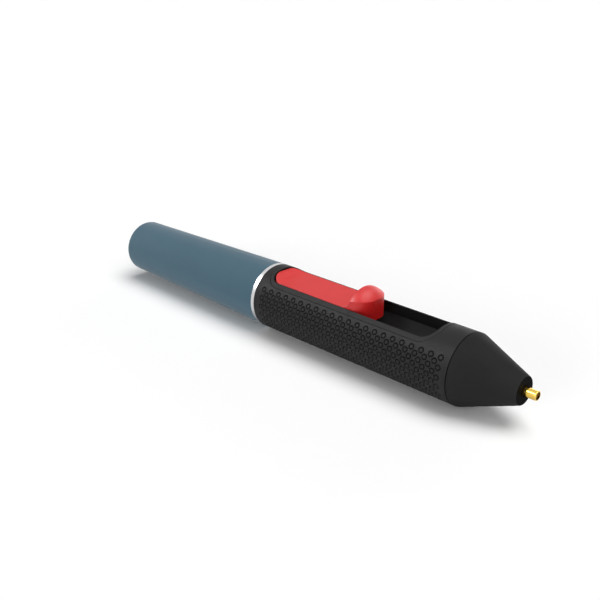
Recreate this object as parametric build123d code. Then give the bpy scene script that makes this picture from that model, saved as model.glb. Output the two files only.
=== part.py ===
from build123d import *
import os
from math import sqrt

# Cordless hot-glue pen, in mm. It is drawn along X with the tail face at x = 0, the barrel's axis at
# y = z = 0 and the thumb slider on the +Z side. At export it moves so that the origin is under its
# middle, on the table.

# Outer form
barrel_radius = 11.6
tail_radius = 10.15
tail_fillet = 1.0
sleeve_length = 77.9
ring_width = 1.45
grip_front = 7.8
nose_length = 18.9
nose_rim = 0.7
nose_rim_fillet = 1.2
nose_tip_radius = 4.4
nose_tip_fillet = 0.35
seam_chamfer = 0.15
nozzle_radius = 1.5
nozzle_reach = 4.2

# Walls
sleeve_wall = 1.1
tail_floor = 1.5
grip_wall = 1.6
pad_thickness = 0.8
nose_wall = 1.6
tray_wall = 1.2
carrier_wall = 0.8

# Clearances: seated pieces, pieces that slide on each other, and free running room
seat_gap = 0.05
slide_gap = 0.1
free_gap = 0.3
seal_gap = 0.02

# Slot in the grip, with the tray's rim round it
cutout_start = 2.5
cutout_width = 17.6
cutout_corner = 5.5
rim_width = 1.3
rim_gap = 0.15
pad_margin_rear = 1.6
pad_margin_front = 1.6

# Thumb slider
slider_end_gap = 0.2
slider_side_gap = 0.4
slider_front_gap = 1.2
slider_corner = 4.8
slider_nose = 6.1
slider_travel = 25.0
slider_plate = 1.4
lip_drop = 0.45
ramp_radius = 3.2
crest_rise = 3.4
crest_back = 5.75
crown_arch = 9.2
crown_run = 5.2
crown_drop = 2.95
knob_depth = 2.45
knob_block = 6.3
tongue_reach = 0.65
tongue_height = 0.45
tongue_start = 5.0
tongue_end = 8.9
edge_fillet = 0.2

# Glue stick and its channel
stick_radius = 3.5
channel_gap = 0.5
bore_gap = 0.15
deck_thickness = 0.5
trough_floor = 5.0
channel_shoulder = 2.0
tray_skirt = 4.5
chamber_front_wall = 2.2
pusher_setback = 0.3
pusher_length = 5.2
pusher_rear_gap = 1.3
peg_radius = 1.6
peg_height = 1.6

# Melt end
bush_length = 3.3
bush_flange = 1.1
bush_flange_radius = 5.6
barrel_wall = 1.35
barrel_length = 17.4
barrel_taper = 5.0
throat_setback = 1.0
throat_radius = 1.2
barrel_nose_radius = 3.0
nozzle_seat = 3.0
nozzle_flange_radius = 2.4
nozzle_flange = 1.6
nozzle_bore = 0.5
nozzle_mouth = 1.15
nozzle_mouth_depth = 0.8
nozzle_edge = 0.2
nose_hole_gap = 0.25
spigot_reach = 4.6
spigot_wall = 1.5
holder_start = 2.6
holder_width = 1.4
heater_length = 6.8
heater_wall = 0.7
shield_wall = 0.6
shield_length = 5.2
sensor_radius = 0.7
sensor_length = 2.0

# Power end
cell_radius = 7.25
cell_length = 50.5
cell_nub = 1.4
cell_nub_radius = 2.6
cell_edge = 0.5
cell_drop = 0.4
cells_start = 16.0
contact_thickness = 0.4
contact_width = 7.0
contact_height = 7.4
leaf_return = 0.8
leaf_return_drop = 1.85
tab_half = 1.4
tab_reach = 1.4
tab_room = 0.8
bulkhead = 1.6
end_wall = 1.5
end_wall_start = 10.7
carrier_start = 2.2
collar_front = 10.2
spigot_length = 9.0
seal_section = 0.75
seal_setback = 5.0
socket_width = 8.94
socket_height = 3.16
socket_length = 7.3
socket_wall = 0.3
socket_tongue = 0.7
socket_tongue_half = 3.0
socket_back = 1.4
socket_opening_gap = 0.35
board_thickness = 0.8
charge_board_half = 6.2
charge_board_length = 8.3

# Control board, switch, button and lamp, under the channel
board_setback = 1.0
board_clearance = 0.5
main_board_length = 30.0
screw_inset = 3.4
screw_head_radius = 1.5
screw_head = 0.9
screw_radius = 0.8
screw_grip = 1.0
screw_post_radius = 1.6
button_place = 11.0
switch_size = 4.6
switch_height = 1.2
plunger_radius = 1.05
plunger_height = 0.4
plunger_depth = 0.45
button_length = 10.6
button_width = 6.4
button_gap = 0.2
button_flange = 0.5
button_flange_step = 0.8
button_sink = 0.4
button_travel = 0.4
led_place = 20.0
led_size = 2.0
led_height = 0.9
pipe_radius = 1.0
pipe_flange_radius = 1.6
pipe_flange = 0.5
pipe_sink = 0.12
lead_radius = 0.45
lead_sink = 0.25
lead_bend = 2.0
lead_drop_start = 2.0
lead_drop_end = 5.0
lead_end = 10.0
heater_lead_radius = 0.4
heater_lead_side = 2.0

# Places along X
ring_x = sleeve_length
grip_x = ring_x + ring_width
mouth_x = sleeve_length - spigot_length
cells_end_x = cells_start + 2 * cell_length
bulkhead_x = cells_end_x + contact_thickness
chamber_x = bulkhead_x + bulkhead
pusher_x = chamber_x + pusher_rear_gap
pusher_front_x = pusher_x + pusher_length
knob_x = pusher_front_x + pusher_setback
crest_x = knob_x - crest_back
cutout_x = grip_x + cutout_start
slot_x = cutout_x + rim_width
slider_x = slot_x + slider_end_gap
slot_end_x = knob_x + slider_travel + slider_front_gap
cutout_end_x = slot_end_x + rim_width
nose_x = cutout_end_x + grip_front
tip_x = nose_x + nose_length
end_x = tip_x + nozzle_reach
slider_length = knob_x - slider_x
tongue_length = slider_length - tongue_start - tongue_end
cutout_length = cutout_end_x - cutout_x
board_x = chamber_x + board_setback
board_end_x = board_x + main_board_length
button_x = board_x + button_place
led_x = board_x + led_place
tray_front_x = slot_end_x + chamber_front_wall
bush_x = tray_front_x + seat_gap
barrel_x = bush_x + bush_length
barrel_end_x = barrel_x + barrel_length
holder_x = barrel_x + holder_start
heater_x = holder_x + holder_width + free_gap


def half_chord(radius, offset):
    """Half the width of a circle, measured at an offset from its centre."""
    return sqrt(radius ** 2 - offset ** 2)


# Radii and heights: the slider is stacked on the cells, and the board on the button
grip_bore = barrel_radius - grip_wall
collar_radius = grip_bore - seat_gap
slot_half = cutout_width / 2 - rim_width
slider_half = slot_half - slider_side_gap
cell_z = -cell_drop
deck_z = cell_z + cell_radius + slide_gap + deck_thickness
plate_z = deck_z + slide_gap
flat_z = plate_z + slider_plate
crest_z = barrel_radius + crest_rise
channel_radius = stick_radius + channel_gap
bore_radius = stick_radius + bore_gap
channel_z = channel_radius - bore_radius
melt_radius = bore_radius + barrel_wall
heater_outer = melt_radius + seat_gap + heater_wall
button_seat = slide_gap - half_chord(grip_bore, button_width / 2)
button_top = button_seat + button_flange
switch_under = button_top + plunger_height
board_under = switch_under + switch_height
board_z = board_under + board_thickness
main_board_half = half_chord(grip_bore - board_clearance, board_under)
pipe_seat = seat_gap - half_chord(grip_bore, pipe_flange_radius)
spigot_bore = grip_bore - seat_gap - spigot_wall
shield_radius = (heater_outer + spigot_bore - shield_wall) / 2
heater_lead_ring = heater_outer + heater_lead_radius + slide_gap
heater_lead_z = -half_chord(heater_lead_ring, heater_lead_side)
lead_side = cell_radius + seat_gap + carrier_wall - lead_sink
lead_z = cell_z + lead_radius + seat_gap
foot_z = plate_z - knob_depth
pusher_middle_x = pusher_front_x - pusher_length / 2

# Room for cutting tools that run past the work, and the tolerance for picking edges
far = 4 * barrel_radius
past = 1.0
near = 0.0001


def sleeve_radius(x):
    """Outer radius of the tapered sleeve."""
    return tail_radius + (barrel_radius - tail_radius) * x / sleeve_length


mouth_bore = sleeve_radius(mouth_x) - sleeve_wall
sleeve_spigot = mouth_bore - seat_gap


def turned(points):
    """Solid of revolution about the barrel's axis from (x, radius) points."""
    return revolve(Plane.XZ * make_face(Polyline(*points, close=True)), axis=Axis.X)


def bar(section, x0, x1):
    """A (y, z) section run along X."""
    return extrude(Plane.YZ.offset(x0) * section, amount=x1 - x0)


def tube(x0, x1, outer, inner):
    """A plain tube along the barrel's axis."""
    return bar(Circle(outer) - Circle(inner), x0, x1)


def rod(x0, x1, radius, y=0.0, z=0.0):
    """A plain rod along X."""
    return bar(Pos(y, z) * Circle(radius), x0, x1)


def post(x, y, z0, z1, radius):
    """A plain post along Z."""
    return extrude(Plane.XY.offset(z0) * Pos(x, y) * Circle(radius), amount=z1 - z0)


def raised(outline, z0, z1):
    """A plan outline run along Z."""
    return extrude(Plane.XY.offset(z0) * outline, amount=z1 - z0)


def block(x0, x1, half, z0, z1):
    """A box, symmetric about the pen's middle plane."""
    return raised(Pos((x0 + x1) / 2, 0) * Rectangle(x1 - x0, 2 * half), z0, z1)


def slot_outline(inset):
    """Plan of the grip's cut-out, drawn inwards by an inset."""
    length = cutout_length - 2 * inset
    width = cutout_width - 2 * inset
    corner = cutout_corner - inset
    return Pos(cutout_x + cutout_length / 2, 0) * RectangleRounded(length, width, corner)


def trough_section(inset):
    """Glue trough seen along X: sloped floors that lead down into a channel, level with the bore's floor."""
    half = slot_half - inset
    groove = channel_radius - inset
    profile = [(half, far), (half, trough_floor + inset), (groove, channel_shoulder + inset),
               (groove, channel_z)]
    right = Polyline(*profile)
    bottom = ThreePointArc((groove, channel_z), (0, channel_z - groove), (-groove, channel_z))
    left = Polyline(*[(-y, z) for y, z in reversed(profile)])
    lid = Line((-half, far), (half, far))
    return make_face([right, bottom, left, lid])


def button_outline(length, width):
    """Plan of the power button."""
    return Pos(button_x, 0) * SlotOverall(length, width)


def mirrored_pair(solid):
    """The solid and its mirror image in the pen's middle plane."""
    return solid + mirror(solid, about=Plane.XZ)


def circles(solid, radius, x):
    """Round edges of one radius at one place along X."""
    edges = solid.edges().filter_by(GeomType.CIRCLE)
    return edges.filter_by(lambda e: abs(e.radius - radius) < near and abs(e.arc_center.X - x) < near)


# Outer pieces

def make_sleeve():
    end = sleeve_length - seat_gap
    floor_bore = sleeve_radius(tail_floor) - sleeve_wall
    shell = turned([(0, 0), (0, tail_radius), (end, sleeve_radius(end)), (end, mouth_bore),
                    (mouth_x, mouth_bore), (tail_floor, floor_bore), (tail_floor, 0)])
    shell = fillet(circles(shell, tail_radius, 0), tail_fillet)
    opening = SlotOverall(socket_width + 2 * socket_opening_gap, socket_height + 2 * socket_opening_gap)
    return shell - bar(opening, -far, tail_floor + seat_gap)


def make_accent_ring():
    return tube(ring_x, grip_x, barrel_radius, collar_radius + seat_gap)


def pad_room():
    """The space that the soft pad fills: a skin round the grip, open along the slot."""
    inner = barrel_radius - pad_thickness
    pad = tube(grip_x + pad_margin_rear, nose_x - pad_margin_front, barrel_radius, inner)
    return pad - block(grip_x, nose_x, cutout_width / 2, 0, far)


def underside_holes():
    """Openings for the power button and the light pipe."""
    opening = button_outline(button_length + 2 * button_gap, button_width + 2 * button_gap)
    return raised(opening, -far, 0) + post(led_x, 0, -far, 0, pipe_radius + seat_gap)


def make_grip_shell():
    shell = tube(grip_x, nose_x, barrel_radius, grip_bore)
    shell = chamfer(circles(shell, barrel_radius, nose_x), seam_chamfer)
    return shell - raised(slot_outline(0), 0, far) - pad_room() - underside_holes()


def make_grip_pad():
    return pad_room() - underside_holes()


def make_nose_cone():
    slope = (barrel_radius - nose_tip_radius) / (nose_length - nose_rim)
    front = tip_x - nose_wall
    inner_front = nose_tip_radius + slope * nose_wall - nose_wall
    bend = tip_x - (spigot_bore + nose_wall - nose_tip_radius) / slope
    hole = nozzle_radius + nose_hole_gap
    spigot_x = nose_x - spigot_reach
    cone = turned([(nose_x, barrel_radius), (nose_x + nose_rim, barrel_radius), (tip_x, nose_tip_radius),
                   (tip_x, hole), (front, hole), (front, inner_front), (bend, spigot_bore),
                   (spigot_x, spigot_bore), (spigot_x, grip_bore - seat_gap), (nose_x, grip_bore - seat_gap)])
    cone = fillet(circles(cone, barrel_radius, nose_x + nose_rim), nose_rim_fillet)
    cone = chamfer(circles(cone, barrel_radius, nose_x), seam_chamfer)
    return fillet(circles(cone, nose_tip_radius, tip_x), nose_tip_fillet)


# Feed: tray, slider and pusher

def make_feed_tray():
    barrel = rod(grip_x, nose_x, barrel_radius)
    tray = raised(slot_outline(rim_gap), tray_skirt, far) & barrel
    tray -= block(slot_x, chamber_x, slot_half, -far, deck_z - deck_thickness)
    tray -= rod(0, chamber_x, cell_radius + slide_gap, 0, cell_z)
    belly = block(chamber_x + seat_gap, tray_front_x, cutout_width / 2 - seat_gap, -far, tray_skirt)
    belly &= rod(0, end_x, grip_bore - seat_gap)
    tray += bar(trough_section(-tray_wall), chamber_x + seat_gap, tray_front_x) & belly
    tray -= raised(slot_outline(rim_width), deck_z, far)
    trough = bar(trough_section(0), chamber_x + seat_gap, slot_end_x)
    tray -= trough & raised(slot_outline(rim_width), -far, far)
    tray -= rod(slot_end_x - seat_gap, tray_front_x + seat_gap, bore_radius)
    tab_end = board_x + tab_reach + slide_gap
    tray -= block(chamber_x, tab_end, tab_half + slide_gap, board_z, board_z + tab_room)
    groove_half = slider_half + tongue_reach + slide_gap
    groove_x = slider_x + tongue_start - slide_gap
    groove_end = groove_x + tongue_length + slider_travel + 2 * slide_gap
    tray -= block(groove_x, groove_end, groove_half, deck_z, plate_z + tongue_height + slide_gap)
    for x in screw_places():
        tray += post(x, 0, board_z, -bore_radius - tray_wall / 2, screw_post_radius)
        tray -= post(x, 0, board_z - seat_gap, board_z + screw_grip + seat_gap, screw_radius + seat_gap)
    return tray


def across(profile):
    """An (x, z) profile run across the pen, wider than the slider."""
    return extrude(Plane.XZ * profile, amount=barrel_radius, both=True)


def knob_ramp():
    """Space under the knob's rear: a hollow for the thumb, then an upright wall to the crest."""
    ramp_x = crest_x - ramp_radius
    ramp_z = flat_z + ramp_radius
    ramp = TangentArc((ramp_x, flat_z), (crest_x, ramp_z), tangent=(1, 0))
    rest = Polyline((crest_x, ramp_z), (crest_x, crest_z), (knob_x + past, crest_z), (knob_x + past, plate_z),
                    (ramp_x, plate_z), (ramp_x, flat_z))
    return across(make_face([ramp, rest]))


def knob_crown():
    """Space under the knob's top: an arch across the pen that rounds down to the front."""
    dome_x = knob_x - crown_run
    front = crown_arch - crown_drop
    rounding = TangentArc((dome_x, crown_arch), (knob_x, front), tangent=(1, 0))
    rest = Polyline((knob_x, front), (knob_x, 0), (slider_x, 0), (slider_x, crown_arch), (dome_x, crown_arch))
    return Pos(0, 0, crest_z - crown_arch) * revolve(Plane.XZ * make_face([rounding, rest]), axis=Axis.X)


def rear_lip():
    """Rear end of the slider: just under the barrel's top, sweeping down to the thumb flat."""
    lip_x = slider_x + slider_corner
    top = barrel_radius - lip_drop
    sweep_down = TangentArc((lip_x, flat_z), (slider_x, top), tangent=(-1, 0))
    rest = Polyline((slider_x, top), (slider_x, plate_z), (lip_x, plate_z), (lip_x, flat_z))
    return across(make_face([sweep_down, rest]))


def slider_outline():
    """Plan of the slider: rounded corners at the rear, and nearly round at the front."""
    ends = ((slider_x, slider_corner, 1), (knob_x, slider_nose, -1))
    edges = []
    for x, corner, inward in ends:
        corner_x = x + inward * corner
        corner_y = slider_half - corner
        middle_x = corner_x - inward * corner / sqrt(2)
        middle_y = corner_y + corner / sqrt(2)
        edges.append(ThreePointArc((corner_x, slider_half), (middle_x, middle_y), (x, corner_y)))
        edges.append(Line((x, corner_y), (x, -corner_y)))
        edges.append(ThreePointArc((x, -corner_y), (middle_x, -middle_y), (corner_x, -slider_half)))
    for side in (slider_half, -slider_half):
        edges.append(Line((slider_x + slider_corner, side), (knob_x - slider_nose, side)))
    return make_face(edges)


def upper_edges(slider):
    """Edges round the slider's top, on its plan outline above the thumb flat, and the knob's crest."""
    outline = slider_outline().wire()

    def is_upper(edge):
        middle = edge @ 0.5
        upright = abs((edge % 0.5).Z) > 1 - near
        offset = Vertex(middle.X, middle.Y, 0).distance_to(outline)
        on_outline = not upright and middle.Z > flat_z - near and offset < near
        on_crest = abs(middle.X - crest_x) < near and middle.Z > crest_z - near
        return on_outline or on_crest

    return slider.edges().filter_by(is_upper)


def make_thumb_slider():
    column = raised(slider_outline(), plate_z, far)
    slider = raised(slider_outline(), plate_z, flat_z)
    slider += column & knob_crown() & knob_ramp()
    slider += column & rear_lip()
    foot = raised(slider_outline(), foot_z, plate_z)
    slider += foot & block(knob_x - knob_block, knob_x, slider_half, -far, far)
    slider = fillet(upper_edges(slider), edge_fillet)
    tongue_x = slider_x + tongue_start
    tongue_top = plate_z + tongue_height
    slider += block(tongue_x, tongue_x + tongue_length, slider_half + tongue_reach, plate_z, tongue_top)
    hole_top = foot_z + peg_height + seat_gap
    return slider - post(pusher_middle_x, 0, foot_z - seat_gap, hole_top, peg_radius + seat_gap)


def make_pusher():
    body = bar(trough_section(free_gap), pusher_x, pusher_front_x)
    body &= raised(slider_outline(), -far, foot_z) + block(pusher_x, pusher_front_x, channel_radius, -far, 0)
    return body + post(pusher_middle_x, 0, foot_z, foot_z + peg_height, peg_radius)


# Melt end

def make_inlet_bush():
    bush = tube(bush_x, barrel_x, melt_radius, bore_radius)
    return bush + tube(bush_x, bush_x + bush_flange, bush_flange_radius, bore_radius)


def make_melt_barrel():
    seat_x = barrel_end_x - nozzle_seat
    bore_end = barrel_end_x - barrel_taper - throat_setback
    seat_radius = nozzle_radius + seat_gap
    return turned([(barrel_x, bore_radius), (bore_end, bore_radius), (seat_x, throat_radius),
                   (seat_x, seat_radius), (barrel_end_x, seat_radius), (barrel_end_x, barrel_nose_radius),
                   (barrel_end_x - barrel_taper, melt_radius), (barrel_x, melt_radius)])


def make_nozzle():
    rear = barrel_end_x - nozzle_seat + seat_gap
    flange_end = barrel_end_x + nozzle_flange
    mouth_x0 = end_x - nozzle_mouth_depth
    tip = turned([(rear, nozzle_bore), (rear, nozzle_radius), (barrel_end_x, nozzle_radius),
                  (barrel_end_x, nozzle_flange_radius), (flange_end, nozzle_flange_radius),
                  (flange_end, nozzle_radius), (end_x, nozzle_radius), (end_x, nozzle_mouth),
                  (mouth_x0, nozzle_mouth), (mouth_x0, nozzle_bore)])
    return fillet(circles(tip, nozzle_radius, end_x), nozzle_edge)


def make_heater_sleeve():
    return tube(heater_x, heater_x + heater_length, heater_outer, heater_outer - heater_wall)


def make_heat_shield():
    start = holder_x + holder_width
    return tube(start, start + shield_length, shield_radius + shield_wall, shield_radius)


def heater_lead_rods(x0, x1, radius):
    return mirrored_pair(rod(x0, x1, radius, heater_lead_side, heater_lead_z))


def make_barrel_holder():
    holder = tube(holder_x, holder_x + holder_width, spigot_bore - seat_gap, melt_radius + seat_gap)
    return holder - heater_lead_rods(holder_x - free_gap, heater_x, heater_lead_radius + seat_gap)


def make_heater_leads():
    return heater_lead_rods(board_end_x, holder_x + holder_width, heater_lead_radius)


def make_temperature_sensor():
    height = melt_radius + sensor_radius + seat_gap
    return rod(holder_x - sensor_length - seat_gap, holder_x - seat_gap, sensor_radius, 0, height)


# Power end

def lead_route():
    """Centre line of one battery lead: along the cradle's edge, then down on to the control board."""
    land = board_z + lead_radius
    inner = main_board_half - 2 * lead_radius
    points = [(end_wall_start + end_wall, lead_side, lead_z),
              (chamber_x + lead_drop_start, lead_side, lead_z),
              (chamber_x + lead_drop_end, inner, land),
              (chamber_x + lead_end, inner, land)]
    return FilletPolyline(*points, radius=lead_bend)


def make_battery_leads():
    route = lead_route()
    section = Plane(route @ 0, z_dir=route % 0) * Circle(lead_radius)
    return mirrored_pair(sweep(section, path=route))


def lead_grooves():
    groove = Pos(lead_side, lead_z) * Circle(lead_radius + slide_gap)
    return mirrored_pair(bar(groove, end_wall_start - past, chamber_x + past))


def make_battery_carrier():
    inner = cell_radius + seat_gap
    outer = inner + carrier_wall
    lower = Pos(0, cell_z - far / 2) * Rectangle(2 * far, far)
    cradle = (Pos(0, cell_z) * (Circle(outer) - Circle(inner))) & lower
    carrier = bar(cradle, carrier_start, bulkhead_x)
    carrier += bar(Pos(0, cell_z) * Circle(outer), end_wall_start, end_wall_start + end_wall)
    collar = rod(mouth_x, ring_x, sleeve_spigot) + rod(ring_x, ring_x + collar_front, collar_radius)
    collar -= bar(Pos(0, cell_z) * Circle(inner), mouth_x - past, chamber_x)
    collar -= block(cutout_x, end_x, far, tray_skirt - seat_gap, far)
    carrier += collar
    seal_x = ring_x - seal_setback
    groove = 2 * seal_section + 2 * seat_gap
    carrier -= tube(seal_x - groove / 2, seal_x + groove / 2, far, mouth_bore - groove)
    wall = rod(bulkhead_x, chamber_x, collar_radius)
    wall -= block(bulkhead_x - past, chamber_x + past, far, deck_z - deck_thickness - seat_gap, far)
    shoulder = block(bulkhead_x - past, chamber_x + past, far, tray_skirt - seat_gap, far)
    wall -= shoulder - block(bulkhead_x - past, chamber_x + past, slot_half - seat_gap, -far, far)
    tab = block(bulkhead_x - past, chamber_x + past, tab_half + seat_gap, board_z, board_z + tab_room)
    return carrier + wall - tab - lead_grooves()


def make_cell(x0):
    body_end = x0 + cell_length - cell_nub
    can = rod(x0, body_end, cell_radius, 0, cell_z)
    can = chamfer(circles(can, cell_radius, x0) + circles(can, cell_radius, body_end), cell_edge)
    return can + rod(body_end, x0 + cell_length, cell_nub_radius, 0, cell_z)


def make_rear_contact():
    wall_x = end_wall_start + end_wall
    half = contact_height / 2
    strip = contact_thickness / 2
    reach = cells_start - strip
    bend = Polyline((wall_x + strip, cell_z - half), (wall_x + strip, cell_z + half), (reach - strip, cell_z),
                    (wall_x + leaf_return, cell_z - leaf_return_drop))
    profile = trace(bend, line_width=contact_thickness)
    return extrude(Plane.XZ * profile, amount=contact_width / 2, both=True)


def make_front_contact():
    half = contact_height / 2
    plate = block(cells_end_x, bulkhead_x, contact_width / 2, cell_z - half, cell_z + half)
    low = board_z + seat_gap
    plate += block(cells_end_x, bulkhead_x, tab_half, low, cell_z - half)
    return plate + block(bulkhead_x, board_x + tab_reach, tab_half, low, low + contact_thickness)


def make_charge_board():
    top = -socket_height / 2
    start = end_wall_start - charge_board_length
    return block(start, end_wall_start, charge_board_half, top - board_thickness, top)


def make_charge_socket():
    front = tail_floor + seat_gap
    back = front + socket_length
    shell = bar(SlotOverall(socket_width, socket_height), front, back)
    room = SlotOverall(socket_width - 2 * socket_wall, socket_height - 2 * socket_wall)
    shell -= bar(room, front - past, back - socket_back)
    tongue_start_x = front + socket_back
    return shell + block(tongue_start_x, back, socket_tongue_half, -socket_tongue / 2, socket_tongue / 2)


def make_sleeve_seal():
    path = mouth_bore - seal_gap - seal_section
    section = Plane.XZ * Pos(ring_x - seal_setback, path) * Circle(seal_section)
    return revolve(section, axis=Axis.X)


# Control

def screw_places():
    return (board_x + screw_inset, board_end_x - screw_inset)


def make_main_board():
    board = block(board_x, board_end_x, main_board_half, board_under, board_z)
    for x in screw_places():
        board -= post(x, 0, board_under - past, board_z + past, screw_radius + seat_gap)
    return board


def make_board_screws():
    screws = Part()
    for x in screw_places():
        screws += post(x, 0, board_under - screw_head, board_under, screw_head_radius)
        screws += post(x, 0, board_under, board_z + screw_grip, screw_radius)
    return screws


def make_tact_switch():
    half = switch_size / 2
    body = block(button_x - half, button_x + half, half, switch_under, board_under)
    pocket = plunger_depth + button_travel + seat_gap
    return body - post(button_x, 0, switch_under - past, switch_under + pocket, plunger_radius + slide_gap)


def make_switch_plunger():
    return post(button_x, 0, button_top, switch_under + plunger_depth, plunger_radius)


def make_power_button():
    flange = button_outline(button_length + 2 * button_flange_step, button_width)
    button = raised(flange, button_seat, button_top)
    cap = raised(button_outline(button_length, button_width), -far, button_seat)
    return button + (cap & rod(grip_x, nose_x, barrel_radius - button_sink))


def make_status_led():
    half = led_size / 2
    return block(led_x - half, led_x + half, half, board_under - led_height, board_under)


def make_light_pipe():
    top = board_under - led_height - seat_gap
    pipe = post(led_x, 0, -far, top, pipe_radius) & rod(grip_x, nose_x, barrel_radius - pipe_sink)
    return pipe + post(led_x, 0, pipe_seat, pipe_seat + pipe_flange, pipe_flange_radius)


nodes = {
    "sleeve": make_sleeve(),
    "accent_ring": make_accent_ring(),
    "grip_shell": make_grip_shell(),
    "grip_pad": make_grip_pad(),
    "feed_tray": make_feed_tray(),
    "thumb_slider": make_thumb_slider(),
    "pusher": make_pusher(),
    "nose_cone": make_nose_cone(),
    "nozzle": make_nozzle(),
    "inlet_bush": make_inlet_bush(),
    "melt_barrel": make_melt_barrel(),
    "heater_sleeve": make_heater_sleeve(),
    "heat_shield": make_heat_shield(),
    "barrel_holder": make_barrel_holder(),
    "temperature_sensor": make_temperature_sensor(),
    "battery_carrier": make_battery_carrier(),
    "rear_cell": make_cell(cells_start),
    "front_cell": make_cell(cells_start + cell_length),
    "rear_contact": make_rear_contact(),
    "front_contact": make_front_contact(),
    "battery_leads": make_battery_leads(),
    "charge_board": make_charge_board(),
    "charge_socket": make_charge_socket(),
    "main_board": make_main_board(),
    "tact_switch": make_tact_switch(),
    "switch_plunger": make_switch_plunger(),
    "power_button": make_power_button(),
    "status_led": make_status_led(),
    "light_pipe": make_light_pipe(),
    "heater_leads": make_heater_leads(),
    "sleeve_seal": make_sleeve_seal(),
    "board_screws": make_board_screws(),
}

os.makedirs("parts", exist_ok=True)
on_table = Pos(-end_x / 2, 0, barrel_radius)
for name, solid in nodes.items():
    export_step(on_table * solid, os.path.join("parts", name + ".step"))
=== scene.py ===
# %% [markdown]
# # A cordless hot-glue pen
#
# The pen has a tapered blue sleeve, a bright ring, a black grip with a red thumb slider in a slot, a cone
# and a brass nozzle. Its shape comes ready made as fixed CAD pieces. This lesson lights them, gives each
# one its finish, and models the soft grip skin, whose small ring grooves are too fine for the CAD model.

# %% Load the fixed frame
import math

import bmesh
import bpy
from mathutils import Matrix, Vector


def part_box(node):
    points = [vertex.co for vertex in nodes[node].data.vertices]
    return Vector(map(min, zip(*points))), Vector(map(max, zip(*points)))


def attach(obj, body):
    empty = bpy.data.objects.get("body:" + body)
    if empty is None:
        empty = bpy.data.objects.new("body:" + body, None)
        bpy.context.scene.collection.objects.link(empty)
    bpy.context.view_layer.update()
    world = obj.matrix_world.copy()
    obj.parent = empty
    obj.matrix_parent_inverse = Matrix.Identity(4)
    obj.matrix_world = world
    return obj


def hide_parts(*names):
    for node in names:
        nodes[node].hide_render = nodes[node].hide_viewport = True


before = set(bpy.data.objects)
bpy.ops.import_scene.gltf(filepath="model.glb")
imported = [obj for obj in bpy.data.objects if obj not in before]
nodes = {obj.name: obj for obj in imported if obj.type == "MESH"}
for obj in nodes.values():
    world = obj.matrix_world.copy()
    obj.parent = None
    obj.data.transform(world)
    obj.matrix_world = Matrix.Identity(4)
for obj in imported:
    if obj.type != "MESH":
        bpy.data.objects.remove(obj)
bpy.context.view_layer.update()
MM = 0.001

# %% [markdown]
# ## Camera
#
# The pen lies on its grip and is seen from above, over its nozzle end. A normal 50 mm lens gives the mild
# perspective of a product picture. A camera looks along its own -Z axis, so that axis is turned towards
# the point it aims at. That is easier than finding three angles by hand. The Standard view shows each
# colour as it is written.

# %% Place the camera
EYE = Vector((0.1892, -0.1905, 0.12474))
AIM = Vector((-0.0013, 0.0, 0.01314))
camera_data = bpy.data.cameras.new("camera")
camera_data.lens = 50
camera_data.sensor_width = 36
camera_data.clip_start = 0.01
camera = bpy.data.objects.new("camera", camera_data)
camera.location = EYE
camera.rotation_euler = (AIM - EYE).to_track_quat("-Z", "Y").to_euler()
bpy.context.scene.collection.objects.link(camera)
bpy.context.scene.camera = camera
bpy.context.scene.view_settings.view_transform = "Standard"
print("camera is", round((EYE - AIM).length, 3), "m away")

# %% [markdown]
# ## Floor
#
# A product picture is taken on white paper. A bent backdrop would do, but a plane that is wide enough
# looks the same and is simpler. Where it is seen, the paper is a little brighter than the light alone
# would make it, so that it fades into the white world, and it still takes the pen's shadow. The Light
# Path node tells the rays that see the paper from the light that bounces off it.

# %% Make the floor
FLOOR_SIZE = 40.0
PAPER = (0.965, 0.965, 0.965, 1)
PAPER_ROUGHNESS = 0.9
PAPER_LIFT = 0.055
WHITE = (1, 1, 1, 1)


def new_material(name):
    """An empty node material: the material, its tree and its main shader."""
    material = bpy.data.materials.new(name)
    material.use_nodes = True
    tree = material.node_tree
    return material, tree, tree.nodes["Principled BSDF"]


def maths(tree, operation, first, second):
    """A Math node on two values, of which the second may be a plain number."""
    node = tree.nodes.new("ShaderNodeMath")
    node.operation = operation
    tree.links.new(first, node.inputs[0])
    if isinstance(second, float):
        node.inputs[1].default_value = second
    else:
        tree.links.new(second, node.inputs[1])
    return node.outputs[0]


def seen_plainly(tree):
    """1 for rays from the camera, from a mirror or through glass, and 0 for light that bounces."""
    path = tree.nodes.new("ShaderNodeLightPath")
    seen = maths(tree, "MAXIMUM", path.outputs["Is Camera Ray"], path.outputs["Is Glossy Ray"])
    return maths(tree, "MAXIMUM", seen, path.outputs["Is Transmission Ray"])


bpy.ops.object.select_all(action="DESELECT")
bpy.ops.mesh.primitive_plane_add(size=FLOOR_SIZE, location=(0, 0, 0))
floor = bpy.context.object
floor.name = "paper_floor"
paper, tree, shader = new_material("white_paper")
shader.inputs["Base Color"].default_value = PAPER
shader.inputs["Roughness"].default_value = PAPER_ROUGHNESS
shader.inputs["Specular IOR Level"].default_value = 0.0
shader.inputs["Emission Color"].default_value = WHITE
lift = maths(tree, "MULTIPLY", seen_plainly(tree), PAPER_LIFT)
tree.links.new(lift, shader.inputs["Emission Strength"])
floor.data.materials.append(paper)
print("floor is", FLOOR_SIZE, "m wide")

# %% [markdown]
# ## World
#
# The world is the white all round the paper. Where it is seen, also in metal and through clear plastic,
# its strength is 1, which is white. The light that it throws is much weaker, because the lamps do that
# work, and a bright world would wash the shadow out.

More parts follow.
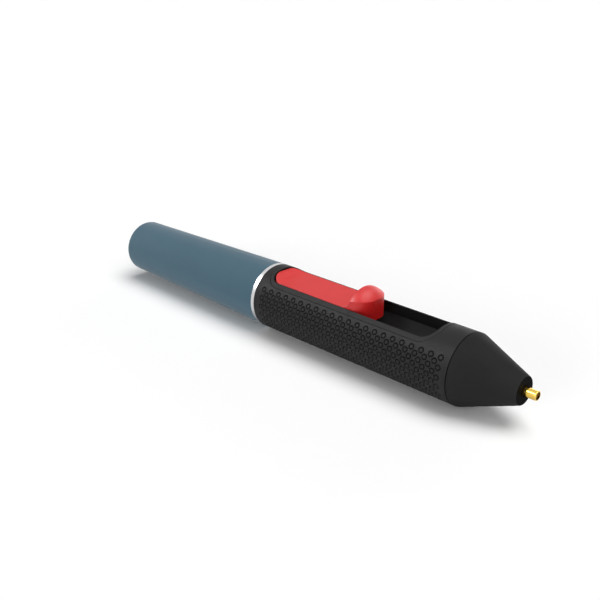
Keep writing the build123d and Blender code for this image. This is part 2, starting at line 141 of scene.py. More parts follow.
# %% Make the world
AMBIENT = 0.12
world = bpy.data.worlds.new("studio")
world.use_nodes = True
bpy.context.scene.world = world
tree = world.node_tree
strength = tree.nodes.new("ShaderNodeMapRange")
strength.inputs["To Min"].default_value = AMBIENT
strength.inputs["To Max"].default_value = 1.0
tree.links.new(seen_plainly(tree), strength.inputs["Value"])
background = tree.nodes["Background"]
background.inputs["Color"].default_value = WHITE
tree.links.new(strength.outputs["Result"], background.inputs["Strength"])
print("world lights the pen with a strength of", AMBIENT)

# %% [markdown]
# ## Lamps
#
# Area lamps close to the pen would light the paper unevenly. Sun lamps light it evenly as far as the eye
# sees, and a wide disc gives a shadow as soft as a large lamp's. The main one hangs above the pen and
# makes the shadow close under it. One stands low before its side and one low behind it, where they light
# the pen and hardly reach the paper. One shines from its nozzle end. The last one gives no diffuse light
# and so shows in reflections only: it draws the highlight along the grip and leaves the shadow alone.

# %% Hang the lamps


def wide_sun(name, source, strength, width):
    """A sun lamp that shines from a direction, with a disc of a width in degrees."""
    data = bpy.data.lights.new(name, "SUN")
    data.energy = strength
    data.angle = math.radians(width)
    lamp = bpy.data.objects.new(name, data)
    lamp.rotation_euler = (-Vector(source)).to_track_quat("-Z", "Y").to_euler()
    bpy.context.scene.collection.objects.link(lamp)
    print(name, "hung")
    return lamp


wide_sun("top_sun", (0.18, 0.2, 0.96), 1.97, 45)
wide_sun("side_sun", (0, -0.99, 0.12), 1.50, 40)
wide_sun("back_sun", (-0.15, 0.98, 0.12), 0.75, 40)
wide_sun("nozzle_sun", (0.65, -0.10, 0.75), 0.72, 60)
highlight = wide_sun("left_sun", (-0.60, -0.51, 0.61), 3.0, 30)
highlight.visible_diffuse = False

# %% [markdown]
# ## Noise for the finishes
#
# Moulded plastic is never one flat colour. Its tone drifts a little over a few centimetres, its gloss
# changes in small patches, and a fine grain from the mould breaks up the highlights. A picture could show
# that, but the piece would have to be unwrapped first. Noise on the piece's own coordinates needs no
# unwrapping, and each of its layers gets its own scale.

# %% Helpers for noise
NOISE_LOW, NOISE_HIGH = 0.3, 0.7
BUMP_STRENGTH = 0.5


def coordinates(tree, scale=(1, 1, 1)):
    """The piece's own coordinates, stretched by a scale."""
    source = tree.nodes.new("ShaderNodeTexCoord")
    mapping = tree.nodes.new("ShaderNodeMapping")
    mapping.inputs["Scale"].default_value = scale
    tree.links.new(source.outputs["Object"], mapping.inputs["Vector"])
    return mapping.outputs["Vector"]


def noise(tree, size_mm, detail=3.0, scale=(1, 1, 1)):
    """Noise whose blotches are about this size."""
    texture = tree.nodes.new("ShaderNodeTexNoise")
    texture.inputs["Scale"].default_value = 1 / (size_mm * MM)
    texture.inputs["Detail"].default_value = detail
    tree.links.new(coordinates(tree, scale), texture.inputs["Vector"])
    return texture.outputs["Fac"]


def tones(tree, factor, dark, light):
    """A colour that drifts between two tones."""
    ramp = tree.nodes.new("ShaderNodeValToRGB")
    first, last = ramp.color_ramp.elements
    first.position = NOISE_LOW
    last.position = NOISE_HIGH
    first.color = (*dark, 1)
    last.color = (*light, 1)
    tree.links.new(factor, ramp.inputs["Fac"])
    return ramp.outputs["Color"]


def spread(tree, factor, low, high):
    """Noise brought between two values."""
    reach = tree.nodes.new("ShaderNodeMapRange")
    reach.inputs["From Min"].default_value = NOISE_LOW
    reach.inputs["From Max"].default_value = NOISE_HIGH
    reach.inputs["To Min"].default_value = low
    reach.inputs["To Max"].default_value = high
    tree.links.new(factor, reach.inputs["Value"])
    return reach.outputs["Result"]


def roughen(tree, shader, height, depth_mm):
    """Fine relief through the shader's normal."""
    bump = tree.nodes.new("ShaderNodeBump")
    bump.inputs["Distance"].default_value = depth_mm * MM
    bump.inputs["Strength"].default_value = BUMP_STRENGTH
    tree.links.new(height, bump.inputs["Height"])
    tree.links.new(bump.outputs["Normal"], shader.inputs["Normal"])


print("noise is used from", NOISE_LOW, "to", NOISE_HIGH)

# %% [markdown]
# ## Recipes for plastic and metal
#
# Nearly every piece is moulded or metal, so two recipes make most of the finishes. The plastic has three
# layers of noise, for its tone, its gloss and its grain. The metal takes its gloss and its relief from
# one noise, which can be stretched into the marks of a lathe or a brush.

# %% Recipes for plastic and metal
TONE_MM = 14.0
PATCH_MM = 3.0
PATCH_CHANGE = 0.05
TARNISH_MM = 6.0
TARNISH = 0.94
MARK_CHANGE = 0.06


def drifting(tree, colour, drift):
    """A colour whose tone drifts slowly along the piece."""
    dark = [c * (1 - drift) for c in colour]
    light = [min(1.0, c * (1 + drift)) for c in colour]
    return tones(tree, noise(tree, TONE_MM), dark, light)


def moulded(name, colour, roughness, gloss=0.5, drift=0.08, grain_mm=0.25, depth_mm=0.01):
    """Moulded plastic or rubber: drifting tone, patchy roughness and a fine grain."""
    material, tree, shader = new_material(name)
    shader.inputs["Specular IOR Level"].default_value = gloss
    tree.links.new(drifting(tree, colour, drift), shader.inputs["Base Color"])
    patches = spread(tree, noise(tree, PATCH_MM), roughness - PATCH_CHANGE, roughness + PATCH_CHANGE)
    tree.links.new(patches, shader.inputs["Roughness"])
    roughen(tree, shader, noise(tree, grain_mm, detail=2.0), depth_mm)
    return material


def metal(name, colour, roughness, stretch=(1, 1, 1), grain_mm=0.2, depth_mm=0.004):
    """Bare metal with fine turning or brushing marks."""
    material, tree, shader = new_material(name)
    shader.inputs["Metallic"].default_value = 1.0
    dark = [c * TARNISH for c in colour]
    tree.links.new(tones(tree, noise(tree, TARNISH_MM), dark, colour), shader.inputs["Base Color"])
    marks = noise(tree, grain_mm, detail=4.0, scale=stretch)
    shine = spread(tree, marks, roughness - MARK_CHANGE, roughness + MARK_CHANGE)
    tree.links.new(shine, shader.inputs["Roughness"])
    roughen(tree, shader, marks, depth_mm)
    return material


def dress(material, *names):
    """Gives CAD pieces a finish in place of their plain one."""
    for name in names:
        slots = nodes[name].data.materials
        slots.clear()
        slots.append(material)
    print(material.name, "on", ", ".join(names))


print("pieces to dress:", len(nodes))

# %% [markdown]
# ## Sleeve and ring
#
# The sleeve has a satin slate-blue lacquer that looks paler where it turns away from the eye, as a fine
# powdery surface does. Sheen on the shader gives that look from every side, so nothing has to be painted
# on. The ring between sleeve and grip is polished metal.

# %% Dress the sleeve and the ring
SLATE_BLUE = (0.061, 0.126, 0.171)
SHEEN = 0.5
SHEEN_ROUGHNESS = 0.4
SILVER = (0.60, 0.60, 0.61)
slate_blue = moulded("satin_slate_blue", SLATE_BLUE, 0.80, gloss=0.08, drift=0.03, depth_mm=0.003)
shader = slate_blue.node_tree.nodes["Principled BSDF"]
shader.inputs["Sheen Weight"].default_value = SHEEN
shader.inputs["Sheen Roughness"].default_value = SHEEN_ROUGHNESS
dress(slate_blue, "sleeve")
dress(metal("polished_silver", SILVER, 0.24), "accent_ring")

# %% [markdown]
# ## Colour by place
#
# Some pieces get a painted shade past a line, such as a seam or the edge of a groove. They could be cut
# in two there, but the CAD pieces stay whole. So the material asks where a point lies, along the pen or
# away from its axis, and a step from 0 to 1 picks the tone.

# %% Helpers for colour by place
MIX_A, MIX_B, MIX_RESULT = 6, 7, 2  # the colour sockets of a Mix node
ring_low, ring_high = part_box("accent_ring")
RADIUS = (ring_high.z - ring_low.z) / 2
AXIS_Z = (ring_high.z + ring_low.z) / 2


def along(tree, axis="X"):
    """How far a point lies along one axis, which is the pen's length unless another is named."""
    split = tree.nodes.new("ShaderNodeSeparateXYZ")
    tree.links.new(coordinates(tree), split.inputs["Vector"])
    return split.outputs[axis]


def axis_distance(tree):
    """How far a point lies from the pen's axis."""
    across = tree.nodes.new("ShaderNodeCombineXYZ")
    tree.links.new(along(tree, "Y"), across.inputs["X"])
    tree.links.new(maths(tree, "SUBTRACT", along(tree, "Z"), AXIS_Z), across.inputs["Y"])
    length = tree.nodes.new("ShaderNodeVectorMath")
    length.operation = "LENGTH"
    tree.links.new(across.outputs["Vector"], length.inputs[0])
    return length.outputs["Value"]


def recolour(material, keep, colour):
    """Another colour wherever a factor is 0."""
    tree = material.node_tree
    base = tree.nodes["Principled BSDF"].inputs["Base Color"]
    blend = tree.nodes.new("ShaderNodeMix")
    blend.data_type = "RGBA"
    blend.inputs[MIX_A].default_value = (*colour, 1)
    tree.links.new(keep, blend.inputs["Factor"])
    tree.links.new(base.links[0].from_socket, blend.inputs[MIX_B])
    tree.links.new(blend.outputs[MIX_RESULT], base)


def paint_shade_inside(material, radius, colour):
    """Painted shade in another colour, where a piece lies nearer to the pen's axis than a radius."""
    tree = material.node_tree
    recolour(material, maths(tree, "GREATER_THAN", axis_distance(tree), radius), colour)


print("barrel radius in mm:", round(RADIUS / MM, 2))

# %% [markdown]
# ## Black pieces
#
# The grip, its skin, the tray and the cone are black plastic with an even, fine spark texture and little
# gloss. Each has its own tone, because they are separate mouldings. The grooves of the skin and the
# inside of the trough get a painted shade, darker than the surface. The seam between grip and cone gets a
# thin line of nearly black painted shade, and the flat front of the cone is painted as dark, as shade.
# The skin's finish is made here too, and its shape is modelled further down.

# %% Dress the black pieces
# painted shade: darker tones for the skin's grooves, the inside of the trough, the seam and the cone's
# front
GROOVE_SHADE = (0.0175, 0.0175, 0.0175)
TROUGH_SHADE = (0.014, 0.014, 0.014)
# the nearly black painted shade for the seam and the cone's flat front
SHADE = (0.004, 0.004, 0.004)
GROOVES = RADIUS - 0.12 * MM
TROUGH = RADIUS - 0.3 * MM
SEAM = 0.2 * MM
SEAM_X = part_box("grip_shell")[1].x
CONE_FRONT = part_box("nose_cone")[1].x - 0.05 * MM


def spark_black(name, tone, gloss):
    """Black plastic with the fine spark texture of its mould."""
    return moulded(name, (tone, tone, tone), roughness=0.5, gloss=gloss, grain_mm=0.45, depth_mm=0.05)


grip_black = spark_black("grip_black", 0.024, 0.06)
tree = grip_black.node_tree
# painted shade on the grip's front edge, next to the seam
recolour(grip_black, maths(tree, "LESS_THAN", along(tree), SEAM_X - SEAM), SHADE)
dress(grip_black, "grip_shell")
pad_black = spark_black("pad_black", 0.025, 0.065)
# painted shade in the bottoms of the skin's grooves
paint_shade_inside(pad_black, GROOVES, GROOVE_SHADE)
dress(pad_black, "grip_pad")
tray_black = spark_black("tray_black", 0.036, 0.035)
# painted shade inside the trough, below its rim
paint_shade_inside(tray_black, TROUGH, TROUGH_SHADE)
dress(tray_black, "feed_tray", "pusher")
cone_black = spark_black("cone_black", 0.024, 0.01)
tree = cone_black.node_tree
# painted shade next to the seam and on the cone's flat front
recolour(cone_black, maths(tree, "GREATER_THAN", along(tree), SEAM_X + SEAM), SHADE)
recolour(cone_black, maths(tree, "LESS_THAN", along(tree), CONE_FRONT), SHADE)
dress(cone_black, "nose_cone")

# %% [markdown]
# ## The slider
#
# The thumb flat of the slider is crossed by very fine ribs, about a millimetre apart, which the knob
# doesn't have. They could be modelled, but ribs this fine only show in the way they catch the light. So a
# wave texture along the pen drives the bump, and a step at the knob's foot switches it off. The flat is
# also duller than the knob, and the roughness falls along the ramp between them.

# %% Dress the slider
RED = (0.585, 0.008, 0.008)
RIB_PERIOD = 1.0 * MM
RIB_DEPTH_MM = 0.08
WAVES_PER_SCALE = 20 / (2 * math.pi)  # the wave texture turns by 20 radians for each unit
KNOB_LENGTH = 8.9 * MM
RAMP_LENGTH = 2.2 * MM
KNOB_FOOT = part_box("thumb_slider")[1].x - KNOB_LENGTH
FLAT_ROUGHNESS = 0.62
KNOB_ROUGHNESS = 0.47
red, tree, shader = new_material("satin_red")
tree.links.new(drifting(tree, RED, 0.03), shader.inputs["Base Color"])
ribs = tree.nodes.new("ShaderNodeTexWave")
ribs.inputs["Scale"].default_value = 1 / (RIB_PERIOD * WAVES_PER_SCALE)
tree.links.new(coordinates(tree), ribs.inputs["Vector"])
on_knob = maths(tree, "GREATER_THAN", along(tree), KNOB_FOOT)
roughen(tree, shader, maths(tree, "MAXIMUM", ribs.outputs["Fac"], on_knob), RIB_DEPTH_MM)
ramp = tree.nodes.new("ShaderNodeMapRange")
ramp.interpolation_type = "SMOOTHSTEP"
ramp.inputs["From Min"].default_value = KNOB_FOOT
ramp.inputs["From Max"].default_value = KNOB_FOOT + RAMP_LENGTH
ramp.inputs["To Min"].default_value = FLAT_ROUGHNESS
ramp.inputs["To Max"].default_value = KNOB_ROUGHNESS
tree.links.new(along(tree), ramp.inputs["Value"])
tree.links.new(ramp.outputs["Result"], shader.inputs["Roughness"])
dress(red, "thumb_slider")

# %% [markdown]
# ## The nozzle
#
# The brass nozzle is turned on a lathe, and its marks run round it. Noise that is stretched across the
# pen gives such rings without a line of modelling. Its mouth gets a painted shade, a dark brown inside the
# bore, and how far a point lies from the pen's axis tells the mouth from the outside.

# %% Dress the nozzle
TURNED = (1, 0.04, 0.04)
BRASS = (0.80, 0.53, 0.105)
# the painted shade for the inside of the nozzle's mouth
MOUTH_SHADE = (0.36, 0.27, 0.10)
MOUTH_RADIUS = 1.2 * MM
brass = metal("turned_brass", BRASS, 0.14, stretch=TURNED)
# painted shade inside the mouth's radius
paint_shade_inside(brass, MOUTH_RADIUS, MOUTH_SHADE)
dress(brass, "nozzle")

# %% [markdown]
# ## Melt end
#
# Inside the cone a turned aluminium barrel melts the stick. A grey heat-proof bush guides the stick into
# it, a white ceramic sleeve heats it, and a pale fibre tube keeps the heat from the cone. A dark resin
# ring centres it, and a small amber glass bead feels its heat. These are the two recipes with other
# numbers: the fibre tube and the braided leads get a stronger drift and a deeper grain, because they are
# woven.

# %% Dress the melt end
dress(moulded("bush_grey", (0.36, 0.35, 0.33), 0.6), "inlet_bush")
dress(metal("turned_aluminium", (0.78, 0.78, 0.79), 0.32, stretch=TURNED), "melt_barrel")
dress(moulded("heater_ceramic", (0.80, 0.78, 0.73), 0.6, grain_mm=0.12), "heater_sleeve")
dress(moulded("shield_fibre", (0.66, 0.61, 0.52), 0.75, gloss=0.3, drift=0.2, depth_mm=0.05), "heat_shield")
dress(moulded("holder_resin", (0.052, 0.05, 0.048), 0.6), "barrel_holder")
dress(moulded("sensor_amber", (0.60, 0.30, 0.08), 0.12, depth_mm=0.002), "temperature_sensor")
dress(moulded("lead_braid", (0.66, 0.64, 0.58), 0.7, gloss=0.3, drift=0.15, depth_mm=0.04), "heater_leads")

# %% [markdown]
# ## The cells
#
# With the sleeve pulled off, two cells show in their black cradle. A cell is a steel can in a plain
# wrapper: bare metal at both ends, silver grey between, with a dark band near the button end. These zones
# follow from how far along the cell a point lies. So one ramp on the length sets the colour, and another
# says what is metal.

# %% Dress the cells
STEEL = (0.66, 0.66, 0.67)
WRAPPER = (0.47, 0.49, 0.52)
BAND = (0.030, 0.032, 0.036)
BARE, COVERED = (1, 1, 1), (0, 0, 0)
WRAPPER_START, BAND_START, WRAPPER_END = 0.015, 0.74, 0.955
CELL_TONES = ((0.0, STEEL), (WRAPPER_START, WRAPPER), (BAND_START, BAND), (WRAPPER_END, STEEL))
CELL_METAL = ((0.0, BARE), (WRAPPER_START, COVERED), (WRAPPER_END, BARE))


def along_piece(tree, name):
    """How far along a piece a point lies, from 0 at its rear to 1 at its front."""
    low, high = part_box(name)
    share = tree.nodes.new("ShaderNodeMapRange")
    share.inputs["From Min"].default_value = low.x
    share.inputs["From Max"].default_value = high.x
    tree.links.new(along(tree), share.inputs["Value"])
    return share.outputs["Result"]


def zones(tree, factor, steps):
    """A ramp of plain steps, each a place from 0 to 1 and the colour from there on."""
    ramp = tree.nodes.new("ShaderNodeValToRGB")
    ramp.color_ramp.interpolation = "CONSTANT"
    stops = ramp.color_ramp.elements
    for k, (start, colour) in enumerate(steps):
        stop = stops[k] if k < 2 else stops.new(start)
        stop.position = start
        stop.color = (*colour, 1)
    tree.links.new(factor, ramp.inputs["Fac"])
    return ramp.outputs["Color"]


for name in ("rear_cell", "front_cell"):
    wrapped, tree, shader = new_material("wrapper_" + name)
    share = along_piece(tree, name)
    tree.links.new(zones(tree, share, CELL_TONES), shader.inputs["Base Color"])
    tree.links.new(zones(tree, share, CELL_METAL), shader.inputs["Metallic"])
    tree.links.new(spread(tree, noise(tree, 2.0), 0.22, 0.36), shader.inputs["Roughness"])
    roughen(tree, shader, noise(tree, 1.2), 0.01)
    dress(wrapped, name)

# %% [markdown]
# ## The battery leads
#
# The two wires from the tail to the main board are one CAD node, red on one side of the pen and black on
# the other. Two materials would need the node's faces sorted, so one material picks the colour by the
# sign of Y.

# %% Dress the battery leads
LEAD_BLACK = (0.02, 0.02, 0.02)
LEAD_RED = (0.5, 0.02, 0.02)
leads, tree, shader = new_material("lead_insulation")
side = maths(tree, "GREATER_THAN", along(tree, "Y"), 0.0)
tree.links.new(zones(tree, side, ((0.0, LEAD_BLACK), (0.5, LEAD_RED))), shader.inputs["Base Color"])
tree.links.new(spread(tree, noise(tree, 1.5), 0.4, 0.55), shader.inputs["Roughness"])
roughen(tree, shader, noise(tree, 0.4), 0.01)
dress(leads, "battery_leads")

# %% [markdown]
# ## The boards
#
# A circuit board is green, with paler copper tracks under its lacquer. They could be drawn one by one,
# but the boards only show in part, so a brick pattern draws them: its joints are the tracks, which also
# stand a little proud in the bump.

# %% Dress the boards
TRACK_PITCH = 3.0 * MM
TRACK_WIDTH = 0.06
BOARD_GREENS = ((0.014, 0.125, 0.052, 1), (0.020, 0.155, 0.068, 1))
TRACK_GREEN = (0.06, 0.27, 0.10, 1)
board, tree, shader = new_material("board_green")
tracks = tree.nodes.new("ShaderNodeTexBrick")
tracks.inputs["Scale"].default_value = 1 / TRACK_PITCH
tracks.inputs["Mortar Size"].default_value = TRACK_WIDTH
tracks.inputs["Color1"].default_value = BOARD_GREENS[0]
tracks.inputs["Color2"].default_value = BOARD_GREENS[1]
tracks.inputs["Mortar"].default_value = TRACK_GREEN
tree.links.new(coordinates(tree), tracks.inputs["Vector"])
tree.links.new(tracks.outputs["Color"], shader.inputs["Base Color"])
tree.links.new(spread(tree, noise(tree, 1.0), 0.28, 0.4), shader.inputs["Roughness"])
roughen(tree, shader, tracks.outputs["Fac"], 0.02)
dress(board, "main_board", "charge_board")

# %% [markdown]
# ## Small pieces
#
# The light pipe is a rod of clear plastic, which takes its look from transmission and a low roughness.
# The other small pieces are plain plastic, rubber or metal, and the two recipes are enough for them. Only
# the charging socket is brushed along the pen, with the metal's noise stretched that way.

# %% Dress the small pieces
PIPE_DARK = (0.90, 0.93, 0.95)
PIPE_LIGHT = (0.97, 0.98, 0.99)
ACRYLIC_IOR = 1.49
BRUSHED = (0.2, 1, 1)
clear, tree, shader = new_material("pipe_clear")
shader.inputs["Transmission Weight"].default_value = 1.0
shader.inputs["IOR"].default_value = ACRYLIC_IOR
tree.links.new(tones(tree, noise(tree, 0.8), PIPE_DARK, PIPE_LIGHT), shader.inputs["Base Color"])
tree.links.new(spread(tree, noise(tree, 0.5), 0.05, 0.15), shader.inputs["Roughness"])
dress(clear, "light_pipe")
dress(moulded("lamp_lens", (0.80, 0.84, 0.68), 0.25, depth_mm=0.002), "status_led")
dress(moulded("carrier_black", (0.040, 0.040, 0.043), 0.5, gloss=0.3), "battery_carrier")
dress(moulded("button_rubber", (0.035, 0.036, 0.038), 0.65, gloss=0.3, depth_mm=0.02), "power_button")
dress(moulded("switch_black", (0.018, 0.018, 0.02), 0.4), "tact_switch")
dress(moulded("plunger_grey", (0.045, 0.045, 0.047), 0.4), "switch_plunger")
dress(moulded("seal_rubber", (0.022, 0.022, 0.022), 0.6, gloss=0.3), "sleeve_seal")
dress(metal("spring_nickel", (0.72, 0.70, 0.66), 0.26), "rear_contact", "front_contact")
dress(metal("socket_steel", (0.64, 0.64, 0.66), 0.3, stretch=BRUSHED), "charge_socket")
dress(metal("screw_steel", (0.62, 0.62, 0.63), 0.34), "board_screws")

# %% [markdown]
# ## Working in edit mode
#
# The grip skin is modelled with the operators that a hand would use. An operator works on what is
# selected, so each step first picks its corners or edges by their place. Most steps of this piece pick
# open edges, extrude them and then set the new corners, so three small helpers do that.

# %% Helpers for edit mode


def edit(piece):
    """Opens one piece alone in edit mode, with nothing selected."""
    bpy.ops.object.select_all(action="DESELECT")
    piece.select_set(True)
    bpy.context.view_layer.objects.active = piece
    bpy.ops.object.mode_set(mode="EDIT")
    bpy.ops.mesh.select_mode(type="VERT")
    bpy.ops.mesh.select_all(action="DESELECT")


def pick_edges(piece, wanted, more=False):
    """Selects the open edges whose two ends pass a test, with or without the last pick, and counts them."""
    mesh = bmesh.from_edit_mesh(piece.data)
    bpy.ops.mesh.select_mode(type="EDGE")
    if not more:
        bpy.ops.mesh.select_all(action="DESELECT")
    count = 0
    for edge in mesh.edges:
        if edge.is_boundary and all(wanted(corner.co) for corner in edge.verts):
            edge.select_set(True)
            count += 1
    bmesh.update_edit_mesh(piece.data)
    return count


def place_picked(piece, move):
    """Moves each selected corner to where a function of its place says."""
    mesh = bmesh.from_edit_mesh(piece.data)
    for corner in mesh.verts:
        if corner.select:
            corner.co = move(corner.co)
    bmesh.update_edit_mesh(piece.data)


print("edit, pick_edges and place_picked are ready")

# %% [markdown]
# ## One tile of the grip skin
#
# The soft skin of the grip carries about seven hundred small rings, each pressed in as a narrow groove
# round a flush middle. They sit in rows along the pen, and every second row is shifted by half a step. A
# bump texture could draw them, but the exported mesh would be bare. So one six-sided tile with one ring
# is modelled flat, lying along the pen in X and round it in Y: a disc is inset down and up again, and its
# rim is extruded out to the six sides. Tiles of this shape fill the whole sheet without gaps.

# %% Model one tile with its ring
STEP = 3.563 * MM
FIRST_ROW = math.radians(58.25)
ROWS_TO_UNDERSIDE = 16
ROW = RADIUS * (math.pi - FIRST_ROW) / ROWS_TO_UNDERSIDE
SIDES = 12
FLAT_TO_CORNER = math.cos(math.pi / SIDES)
GROOVE_OUTER = 1.1 * MM
GROOVE_MIDDLE = 0.8 * MM
GROOVE_INNER = 0.5 * MM
GROOVE_DEPTH = 0.42 * MM


def tile_edge(place):
    """The point of the tile's six-sided outline that belongs to a corner of the ring."""
    tip = (STEP ** 2 / 4 + ROW ** 2) / STEP
    shoulder = STEP / 2 - tip
    quarter = ((tip, 0), ((tip + shoulder) / 2, ROW / 2), (shoulder, ROW), (0, ROW))
    turn = math.atan2(abs(place.y), abs(place.x))
    x, y = quarter[round(turn / (2 * math.pi / SIDES))]
    return Vector((math.copysign(x, place.x), math.copysign(y, place.y), 0))


bpy.ops.object.select_all(action="DESELECT")
bpy.ops.mesh.primitive_circle_add(vertices=SIDES, radius=GROOVE_OUTER, fill_type="NGON", location=(0, 0, 0))
tile = bpy.context.object
edit(tile)
bpy.ops.mesh.select_all(action="SELECT")
bpy.ops.mesh.inset(thickness=(GROOVE_OUTER - GROOVE_MIDDLE) * FLAT_TO_CORNER, depth=-GROOVE_DEPTH)
bpy.ops.mesh.inset(thickness=(GROOVE_MIDDLE - GROOVE_INNER) * FLAT_TO_CORNER, depth=GROOVE_DEPTH)
pick_edges(tile, lambda place: True)
bpy.ops.mesh.extrude_edges_move()
place_picked(tile, tile_edge)
bpy.ops.object.mode_set(mode="OBJECT")
print("tile has", len(tile.data.polygons), "faces")

# %% [markdown]
# ## The flat sheet of rings
#
# The tile could be copied in a loop, but two array modifiers repeat it along the pen and round it at
# once. Every second row belongs to a field of its own, shifted by half a step, with one ring less. The
# two fields are joined, and the corners that their tiles share are merged.

# %% Lay the tiles
CLOSE = 0.004 * MM
REAR_MARGIN = 2.1 * MM
COLUMNS = 22
pad_low, pad_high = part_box("grip_pad")
FIRST_RING = pad_low.x + REAR_MARGIN
LAST_RING = FIRST_RING + (COLUMNS - 1) * STEP
OUTER_ROW = ROWS_TO_UNDERSIDE * ROW


def tile_field(first_x, first_y, columns, rows):
    """Rows of tiles, from a copy of the one tile and two arrays."""
    bpy.ops.object.select_all(action="DESELECT")
    tile.select_set(True)
    bpy.context.view_layer.objects.active = tile
    bpy.ops.object.duplicate()
    field = bpy.context.object
    for count, step in ((columns, (STEP, 0, 0)), (rows, (0, 2 * ROW, 0))):
        repeat = field.modifiers.new("repeat", "ARRAY")
        repeat.count = count
        repeat.use_relative_offset = False
        repeat.use_constant_offset = True
        repeat.constant_offset_displace = step
        bpy.ops.object.modifier_apply(modifier=repeat.name)
    for corner in field.data.vertices:
        corner.co += Vector((first_x, first_y, 0))
    print("field of", columns, "by", rows, "tiles")
    return field


skin = tile_field(FIRST_RING, -OUTER_ROW, COLUMNS, ROWS_TO_UNDERSIDE + 1)
shifted = tile_field(FIRST_RING + STEP / 2, ROW - OUTER_ROW, COLUMNS - 1, ROWS_TO_UNDERSIDE)
bpy.data.objects.remove(tile)
bpy.ops.object.select_all(action="DESELECT")
shifted.select_set(True)
skin.select_set(True)
bpy.context.view_layer.objects.active = skin
bpy.ops.object.join()
skin.name = "grip_skin"
edit(skin)
bpy.ops.mesh.select_all(action="SELECT")
bpy.ops.mesh.remove_doubles(threshold=CLOSE)

# %% [markdown]
# ## The plain margins
#
# The skin has a plain margin all round, and the border of the tiles is a zigzag. A new flat strip would
# have to be joined to every tooth of it. Extruding the zigzag itself and setting the new edge straight
# gives the same margin with nothing to join, first at the two ends and then along the two sides of the
# slot.

# %% Straighten the border
HALF_ARC = RADIUS * (math.pi - math.acos((pad_high.z - AXIS_Z) / RADIUS))


def straighten(wanted, move):
    """Extrudes the open edges on one side and sets the new ones straight."""
    count = pick_edges(skin, wanted)
    bpy.ops.mesh.extrude_edges_move()
    place_picked(skin, move)
    return count


def in_rows(p):
    """True as far as the middle of the outer rows, and false for the half tiles beyond it."""
    return abs(p.y) < OUTER_ROW + CLOSE


ends = straighten(lambda p: p.x < FIRST_RING and in_rows(p), lambda p: Vector((pad_low.x, p.y, 0)))
ends += straighten(lambda p: p.x > LAST_RING and in_rows(p), lambda p: Vector((pad_high.x, p.y, 0)))
sides = straighten(lambda p: p.y > OUTER_ROW - CLOSE, lambda p: Vector((p.x, HALF_ARC, 0)))
sides += straighten(lambda p: p.y < CLOSE - OUTER_ROW, lambda p: Vector((p.x, -HALF_ARC, 0)))
print("border of", ends, "end edges and", sides, "side edges")

# %% [markdown]
# ## Room for the button and the light pipe
#
# On the underside the skin is plain round the power button and the light pipe. The tiles there could be
# deleted and filled, but it is enough to lift the bottoms of their grooves until they are flush.

# %% Leave out the rings round the holes
HOLE_LENGTH = 11.0 * MM
HOLE_WIDTH = 6.8 * MM
HOLE_RUN = (HOLE_LENGTH - HOLE_WIDTH) / 2
PIPE_HOLE = 1.05 * MM
RING_ROOM = 1.5 * MM


def middle_x(name):
    """Middle of a CAD piece along the pen."""
    low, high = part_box(name)
    return (low.x + high.x) / 2


BUTTON_X = middle_x("power_button")
PIPE_X = middle_x("light_pipe")


def by_a_hole(place):
    """True where a ring would come too close to the button's or the light pipe's hole."""
    past_run = max(abs(place.x - BUTTON_X) - HOLE_RUN, 0.0)
    by_button = math.hypot(past_run, place.y) < HOLE_WIDTH / 2 + RING_ROOM
    by_pipe = math.hypot(place.x - PIPE_X, place.y) < PIPE_HOLE + RING_ROOM
    return by_button or by_pipe


def ring_centre(place):
    """Centre of the ring that a corner of its groove belongs to."""
    row = round((place.y + OUTER_ROW) / ROW)
    centres = []
    for k in (row - 1, row, row + 1):
        start = FIRST_RING + (STEP / 2 if k % 2 else 0.0)
        column = round((place.x - start) / STEP)
        centres.append(Vector((start + column * STEP, k * ROW - OUTER_ROW, 0)))
    return min(centres, key=lambda c: math.hypot(c.x - place.x, c.y - place.y))


mesh = bmesh.from_edit_mesh(skin.data)
flush = 0
for corner in mesh.verts:
    if corner.co.z < -GROOVE_DEPTH / 2 and by_a_hole(ring_centre(corner.co)):
        corner.co.z = 0.0
        flush += 1
bmesh.update_edit_mesh(skin.data)
print("rings left out round the holes:", flush // SIDES)

# %% [markdown]
# ## The skin's thickness
#
# A Solidify modifier would give the sheet its thickness, but it would copy every groove to the back,
# which nobody sees. So the border is extruded down, its small corners are dissolved, and the back is
# closed by bridging its two ends with long plain faces.

# %% Give the sheet its thickness
THICKNESS = 0.8 * MM
pick_edges(skin, lambda p: True)
bpy.ops.mesh.extrude_edges_move()
place_picked(skin, lambda p: Vector((p.x, p.y, -THICKNESS)))
mesh = bmesh.from_edit_mesh(skin.data)
bpy.ops.mesh.select_mode(type="VERT")
bpy.ops.mesh.select_all(action="DESELECT")
for corner in mesh.verts:
    low = corner.co.z < CLOSE - THICKNESS
    inside = pad_low.x + CLOSE < corner.co.x < pad_high.x - CLOSE
    corner.select_set(low and inside)
bmesh.update_edit_mesh(skin.data)
bpy.ops.mesh.dissolve_verts()
pick_edges(skin, lambda p: p.x < pad_low.x + CLOSE)
pick_edges(skin, lambda p: p.x > pad_high.x - CLOSE, more=True)
bpy.ops.mesh.bridge_edge_loops()
mesh = bmesh.from_edit_mesh(skin.data)
print("open edges left:", sum(1 for edge in mesh.edges if not edge.is_manifold))
bpy.ops.object.mode_set(mode="OBJECT")

# %% [markdown]
# ## Wrap the skin round the pen
#
# The bend operator needs a window, so the corners are moved by a rule. Y is the way round the pen, and
# dividing it by the radius gives the angle from the underside. Depth takes away from the radius. The two
# long borders of the back move a little further, until the walls along the slot stand upright.

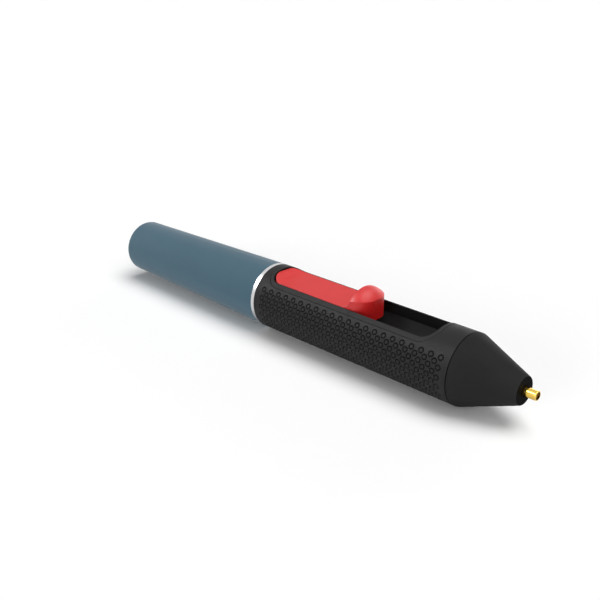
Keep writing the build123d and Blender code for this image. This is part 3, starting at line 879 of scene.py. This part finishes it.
# %% Wrap the skin
SLOT_HALF = RADIUS * math.sin(HALF_ARC / RADIUS)
INNER = RADIUS - THICKNESS
INNER_ANGLE = math.pi - math.asin(SLOT_HALF / INNER)
for corner in skin.data.vertices:
    x, around, depth = corner.co
    radius = RADIUS + depth
    angle = around / RADIUS
    if depth < CLOSE - THICKNESS and abs(around) > HALF_ARC - CLOSE:
        angle = math.copysign(INNER_ANGLE, around)
    corner.co = (x, radius * math.sin(angle), AXIS_Z - radius * math.cos(angle))
print("skin reaches", round(math.degrees(HALF_ARC / RADIUS)), "degrees up each side")

# %% [markdown]
# ## Holes and finish of the skin
#
# The button and the light pipe come out through the skin on the underside. Their holes are cut with two
# cutters and a Boolean modifier, which leaves clean upright walls. Then the faces are turned outwards and
# shaded smooth, with sharp edges kept at the grooves. The skin rides on the pen's body and stands for the
# plain CAD pad.

# %% Cut the holes and finish the skin
CUTTER_SIDES = 64
SMOOTH_ANGLE = math.radians(35)


def cut_hole(x, radius, run):
    """Cuts an upright hole from below, drawn out along the pen by a run to each side."""
    bpy.ops.object.select_all(action="DESELECT")
    bpy.ops.mesh.primitive_cylinder_add(vertices=CUTTER_SIDES, radius=radius, depth=RADIUS,
                                        location=(0, 0, 0), rotation=(0, 0, math.pi / CUTTER_SIDES))
    cutter = bpy.context.object
    bpy.ops.object.transform_apply(location=True, rotation=True, scale=True)
    for corner in cutter.data.vertices:
        corner.co.x += x + math.copysign(run, corner.co.x)
    cut = skin.modifiers.new("cut", "BOOLEAN")
    cut.operation = "DIFFERENCE"
    cut.solver = "EXACT"
    cut.object = cutter
    bpy.context.view_layer.objects.active = skin
    bpy.ops.object.modifier_apply(modifier=cut.name)
    bpy.data.objects.remove(cutter)


cut_hole(BUTTON_X, HOLE_WIDTH / 2, HOLE_RUN)
cut_hole(PIPE_X, PIPE_HOLE, 0.0)
edit(skin)
bpy.ops.mesh.select_all(action="SELECT")
bpy.ops.mesh.normals_make_consistent(inside=False)
bpy.ops.object.mode_set(mode="OBJECT")
bpy.ops.object.shade_smooth_by_angle(angle=SMOOTH_ANGLE)
skin.data.materials.clear()
skin.data.materials.append(pad_black)
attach(skin, "pen")
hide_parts("grip_pad")
print("grip skin has", len(skin.data.polygons), "faces")
